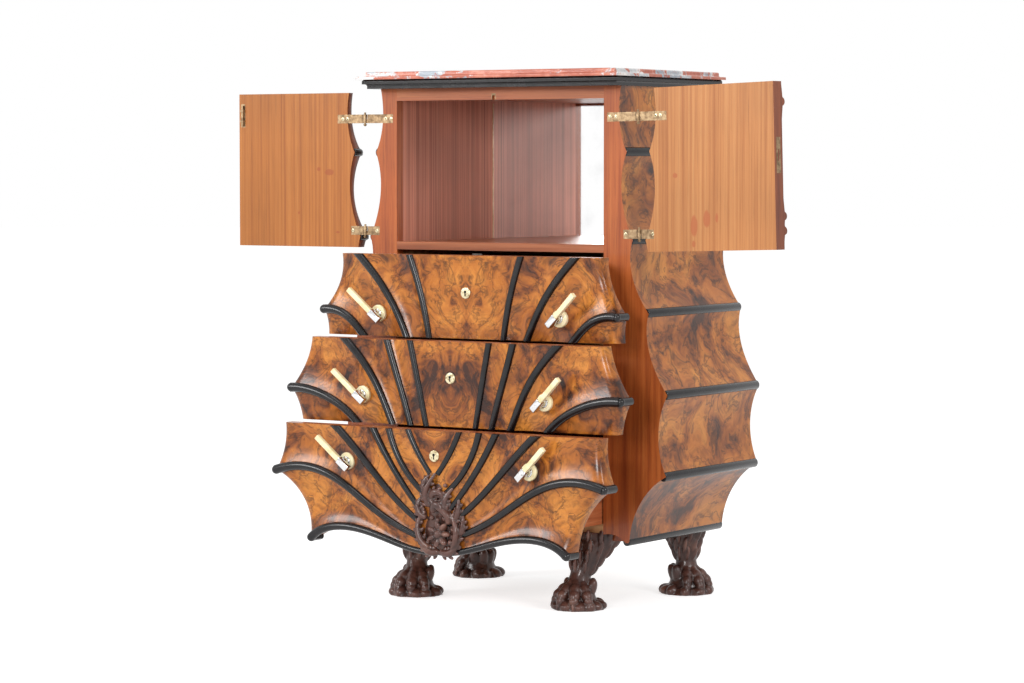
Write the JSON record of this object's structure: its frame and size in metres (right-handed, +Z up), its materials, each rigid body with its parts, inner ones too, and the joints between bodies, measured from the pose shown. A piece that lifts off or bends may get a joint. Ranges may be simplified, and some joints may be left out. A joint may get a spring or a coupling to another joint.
{
  "type": "bombe chest",
  "caption": "Bombe chest: a mirrored compartment with swinging doors above sliding drawers, scalloped hollow sides, radiating black beads, a marble slab top and carved paw feet.",
  "frame": {"origin": "on the floor, on the centre line, at the middle of the overall footprint with the doors and drawers as drawn", "axes": "+X to the right of someone facing the chest, +Y to its back, +Z up"},
  "size_m": [1.3523, 0.6468, 1.099],
  "materials": {
    "marble": "polished",
    "ebonised": "gloss",
    "burl_front": "gloss",
    "burl_side": "satin",
    "red_veneer": "satin",
    "door_veneer": "satin",
    "inner_veneer": "satin",
    "carcass_wood": "matte",
    "carved_wood": "gloss",
    "mirror_glass": "polished",
    "brass": "satin",
    "chrome": "polished",
    "ivory_plastic": "gloss",
    "steel": "satin"
  },
  "bodies": {
    "carcass": {"marble_top": "marble", "cornice": "ebonised", "carcass_top": "carcass_wood", "top_rail": "red_veneer", "left_side": "burl_side", "right_side": "burl_side", "side_beads": "ebonised", "left_stile": "red_veneer", "right_stile": "red_veneer", "shelf": "inner_veneer", "left_lining": "inner_veneer", "right_lining": "inner_veneer", "mirror": "mirror_glass", "back_board": "carcass_wood", "upper_dust_board": "carcass_wood", "lower_dust_board": "carcass_wood", "bottom_board": "carcass_wood", "drawer_guides": "carcass_wood", "front_left_foot": "carved_wood", "front_right_foot": "carved_wood", "back_left_foot": "carved_wood", "back_right_foot": "carved_wood", "carcass_hinge_straps": "brass", "hinge_pins": "brass", "door_strike": "brass"},
    "left_door": {"left_door": "door_veneer", "left_door_beads": "ebonised", "left_door_hinges": "brass", "bolt_plate": "brass"},
    "flush_bolt": {"flush_bolt": "brass"},
    "right_door": {"right_door": "door_veneer", "right_door_beads": "ebonised", "right_door_hinges": "brass", "door_lock": "brass"},
    "door_lock_bolt": {"door_lock_bolt": "steel"},
    "drawer_1": {"drawer_1_front": "burl_front", "drawer_1_beads": "ebonised", "drawer_1_box": "carcass_wood", "drawer_1_pulls": "ivory_plastic", "drawer_1_ferrules": "chrome", "drawer_1_lock": "brass"},
    "drawer_1_bolt": {"drawer_1_bolt": "steel"},
    "drawer_2": {"drawer_2_front": "burl_front", "drawer_2_beads": "ebonised", "drawer_2_box": "carcass_wood", "drawer_2_pulls": "ivory_plastic", "drawer_2_ferrules": "chrome", "drawer_2_lock": "brass"},
    "drawer_2_bolt": {"drawer_2_bolt": "steel"},
    "drawer_3": {"drawer_3_front": "burl_front", "drawer_3_beads": "ebonised", "drawer_3_box": "carcass_wood", "drawer_3_pulls": "ivory_plastic", "drawer_3_ferrules": "chrome", "drawer_3_lock": "brass", "rosette": "carved_wood"},
    "drawer_3_bolt": {"drawer_3_bolt": "steel"}
  },
  "joints": [
    {"name": "left_door_hinge", "type": "hinge", "parent": "carcass", "child": "left_door", "pos_m": [-0.337, -0.055, 0.88375], "axis": [0, 0, 1], "range_deg": [0, 180]},
    {"name": "right_door_hinge", "type": "hinge", "parent": "carcass", "child": "right_door", "pos_m": [0.337, -0.055, 0.88375], "axis": [-0.0148, 0, 0.9999], "range_deg": [-172.5, 7.5]},
    {"name": "flush_bolt_slide", "type": "slide", "parent": "left_door", "child": "flush_bolt", "axis": [0, 0, 1], "range_m": [0, 0.009]},
    {"name": "door_lock_bolt_throw", "type": "slide", "parent": "right_door", "child": "door_lock_bolt", "axis": [0.991, -0.1305, 0.0295], "range_m": [0, 0.006]},
    {"name": "drawer_1_slide", "type": "slide", "parent": "carcass", "child": "drawer_1", "axis": [0, -1, 0], "range_m": [-0.081, 0.209]},
    {"name": "drawer_1_bolt_throw", "type": "slide", "parent": "drawer_1", "child": "drawer_1_bolt", "axis": [0, 0, 1], "range_m": [0, 0.008]},
    {"name": "drawer_2_slide", "type": "slide", "parent": "carcass", "child": "drawer_2", "axis": [0, -1, 0], "range_m": [-0.137, 0.153]},
    {"name": "drawer_2_bolt_throw", "type": "slide", "parent": "drawer_2", "child": "drawer_2_bolt", "axis": [0, 0, 1], "range_m": [0, 0.008]},
    {"name": "drawer_3_slide", "type": "slide", "parent": "carcass", "child": "drawer_3", "axis": [0, -1, 0], "range_m": [-0.193, 0.097]},
    {"name": "drawer_3_bolt_throw", "type": "slide", "parent": "drawer_3", "child": "drawer_3_bolt", "axis": [0, 0, 1], "range_m": [0, 0.008]}
  ]
}
